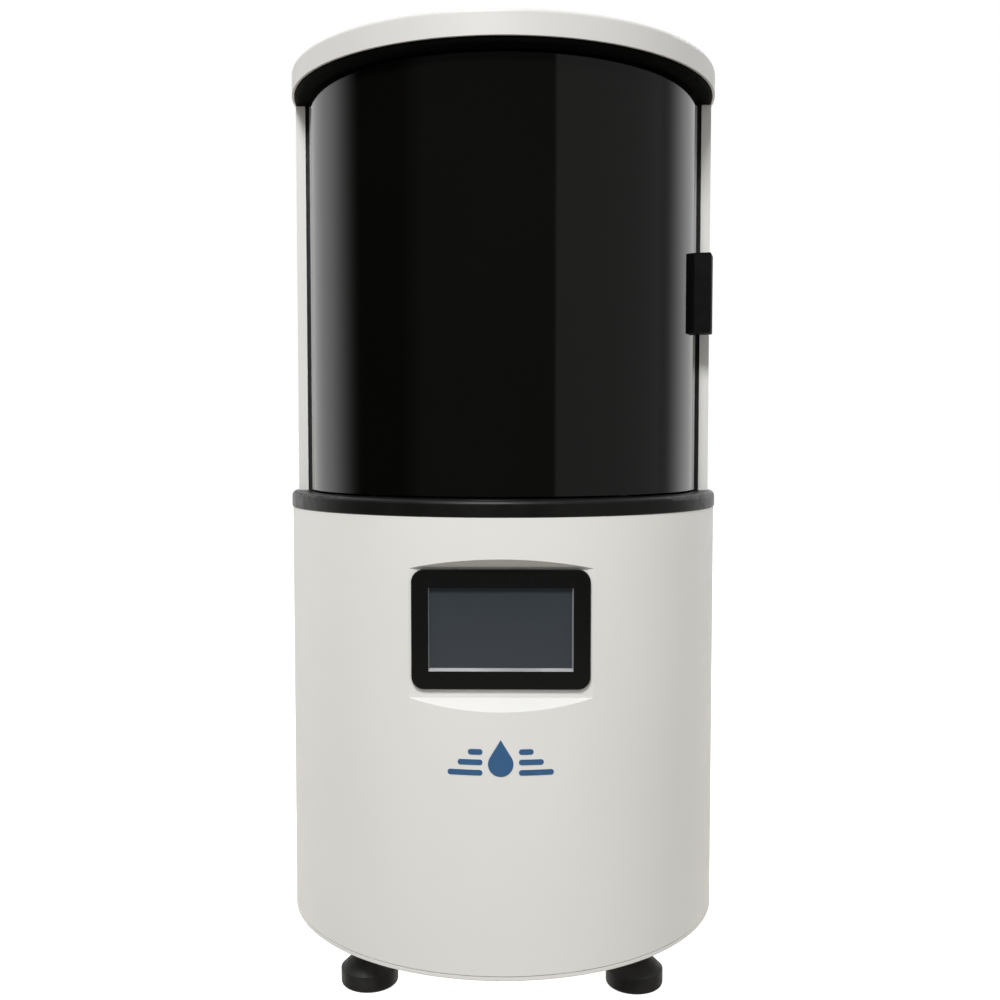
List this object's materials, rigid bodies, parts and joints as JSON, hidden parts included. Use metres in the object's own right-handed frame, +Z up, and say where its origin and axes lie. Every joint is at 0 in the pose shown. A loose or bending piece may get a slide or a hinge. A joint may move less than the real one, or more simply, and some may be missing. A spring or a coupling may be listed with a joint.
{
  "type": "resin printer",
  "caption": "Cylindrical desktop resin printer: white round body with a front screen, smoked wrap-round door over the print chamber and a projector in the base.",
  "frame": {"origin": "on the floor under the middle of the round body", "axes": "+Z up, the door and screen face -Y, the hinge is at -X"},
  "size_m": [0.341, 0.341, 0.6943],
  "materials": {
    "white_paint": "fine satin powder coat",
    "cap_white": "semi-gloss white",
    "black_anodised": "black satin anodised",
    "smoked_acrylic": "polished, nearly opaque smoke tint",
    "black_plastic": "fine matte black",
    "bezel_gloss": "glossy black",
    "screen_glass": "unlit panel under a cover sheet",
    "clear_glass": "clear",
    "clear_film": "clear release film",
    "badge_blue": "printed blue",
    "foot_rubber": "moulded black rubber",
    "satin_aluminium": "satin machined",
    "orange_anodised": "amber anodised",
    "steel": "bright steel",
    "ground_steel": "ground and polished",
    "bronze": "turned bronze",
    "galvanised": "galvanised sheet",
    "board_green": "solder mask",
    "lead_jacket": "flexible jacket",
    "seal_rubber": "foam rubber"
  },
  "bodies": {
    "housing": {"lower_shell": "white_paint", "base_plate": "white_paint", "back_shell": "white_paint", "top_cap": "cap_white", "deck_plate": "black_anodised", "roof_plate": "black_anodised", "rear_panel": "black_anodised", "door_hinge_bushes": "bronze", "screen_bezel": "bezel_gloss", "lcd_frame": "black_plastic", "lcd_glass": "screen_glass", "badge": "badge_blue", "circuit_boards": "board_green", "posts_and_spacers": "satin_aluminium", "mounting_brackets": "galvanised", "body_fasteners": "steel", "window_glass": "clear_glass", "side_seals": "seal_rubber", "z_column": "satin_aluminium", "linear_rails": "ground_steel", "screw_bearings": "steel", "z_motor": "black_plastic", "z_limit_switch": "black_plastic", "vat_frame": "orange_anodised", "vat_film": "clear_film", "vat_film_ring": "steel", "vat_clamps": "black_anodised", "projector_shelf": "galvanised", "projector_body": "black_plastic", "projector_lens": "black_anodised", "lens_glass": "clear_glass", "power_supply": "galvanised", "fan_frame": "black_plastic", "fan_guard": "steel", "power_inlet": "black_plastic", "usb_port": "steel", "internal_leads": "lead_jacket"},
    "door": {"door_panel": "smoked_acrylic", "door_stiles": "black_plastic", "door_handle": "black_plastic", "door_handle_screws": "steel", "door_hinge_pins": "steel"},
    "carriage": {"rail_blocks": "steel", "carriage_plate": "satin_aluminium", "carriage_screws": "steel", "lead_nut": "bronze", "platform_arm": "black_anodised", "platform_clamp": "satin_aluminium", "build_platform": "satin_aluminium"},
    "screw": {"lead_screw": "ground_steel", "shaft_coupler": "satin_aluminium"},
    "platform_knob": {"platform_knob": "black_plastic"},
    "vat_knob_left": {"vat_knob_left": "black_plastic"},
    "vat_knob_right": {"vat_knob_right": "black_plastic"},
    "fan_rotor": {"fan_rotor": "black_plastic"},
    "power_rocker": {"power_rocker": "black_plastic"},
    "foot_1": {"levelling_foot_1": "foot_rubber"},
    "foot_2": {"levelling_foot_2": "foot_rubber"},
    "foot_3": {"levelling_foot_3": "foot_rubber"},
    "foot_4": {"levelling_foot_4": "foot_rubber"}
  },
  "joints": [
    {"name": "door_hinge", "type": "hinge", "parent": "housing", "child": "door", "pos_m": [-0.14597, -0.02443, 0.52], "axis": [0, 0, -1], "range_deg": [0, 95]},
    {"name": "z_slide", "type": "slide", "parent": "housing", "child": "carriage", "axis": [0, 0, 1], "range_m": [-0.158, 0.03]},
    {"name": "screw_spin", "type": "hinge", "parent": "housing", "child": "screw", "pos_m": [0, 0.1115, 0.5], "axis": [0, 0, 1], "continuous": true},
    {"name": "platform_knob_turn", "type": "hinge", "parent": "carriage", "child": "platform_knob", "pos_m": [0, -0.03, 0.592], "axis": [0, 0, 1], "continuous": true},
    {"name": "vat_knob_left_turn", "type": "hinge", "parent": "housing", "child": "vat_knob_left", "pos_m": [-0.112, -0.03, 0.409], "axis": [0, 0, 1], "continuous": true},
    {"name": "vat_knob_right_turn", "type": "hinge", "parent": "housing", "child": "vat_knob_right", "pos_m": [0.112, -0.03, 0.409], "axis": [0, 0, 1], "continuous": true},
    {"name": "fan_spin", "type": "hinge", "parent": "housing", "child": "fan_rotor", "pos_m": [0, 0.145, 0.222], "axis": [0, 1, 0], "continuous": true},
    {"name": "power_switch", "type": "hinge", "parent": "housing", "child": "power_rocker", "pos_m": [-0.0165, 0.158, 0.104], "axis": [1, 0, 0], "range_deg": [0, 20]},
    {"name": "foot_1_turn", "type": "hinge", "parent": "housing", "child": "foot_1", "pos_m": [-0.0994, -0.0994, 0.03], "axis": [0, 0, 1], "continuous": true},
    {"name": "foot_2_turn", "type": "hinge", "parent": "housing", "child": "foot_2", "pos_m": [-0.0994, 0.0994, 0.03], "axis": [0, 0, 1], "continuous": true},
    {"name": "foot_3_turn", "type": "hinge", "parent": "housing", "child": "foot_3", "pos_m": [0.0994, -0.0994, 0.03], "axis": [0, 0, 1], "continuous": true},
    {"name": "foot_4_turn", "type": "hinge", "parent": "housing", "child": "foot_4", "pos_m": [0.0994, 0.0994, 0.03], "axis": [0, 0, 1], "continuous": true}
  ],
  "couplings": [
    {"joint": "screw_spin", "follows": "z_slide", "rad_per_m": -785.4}
  ]
}
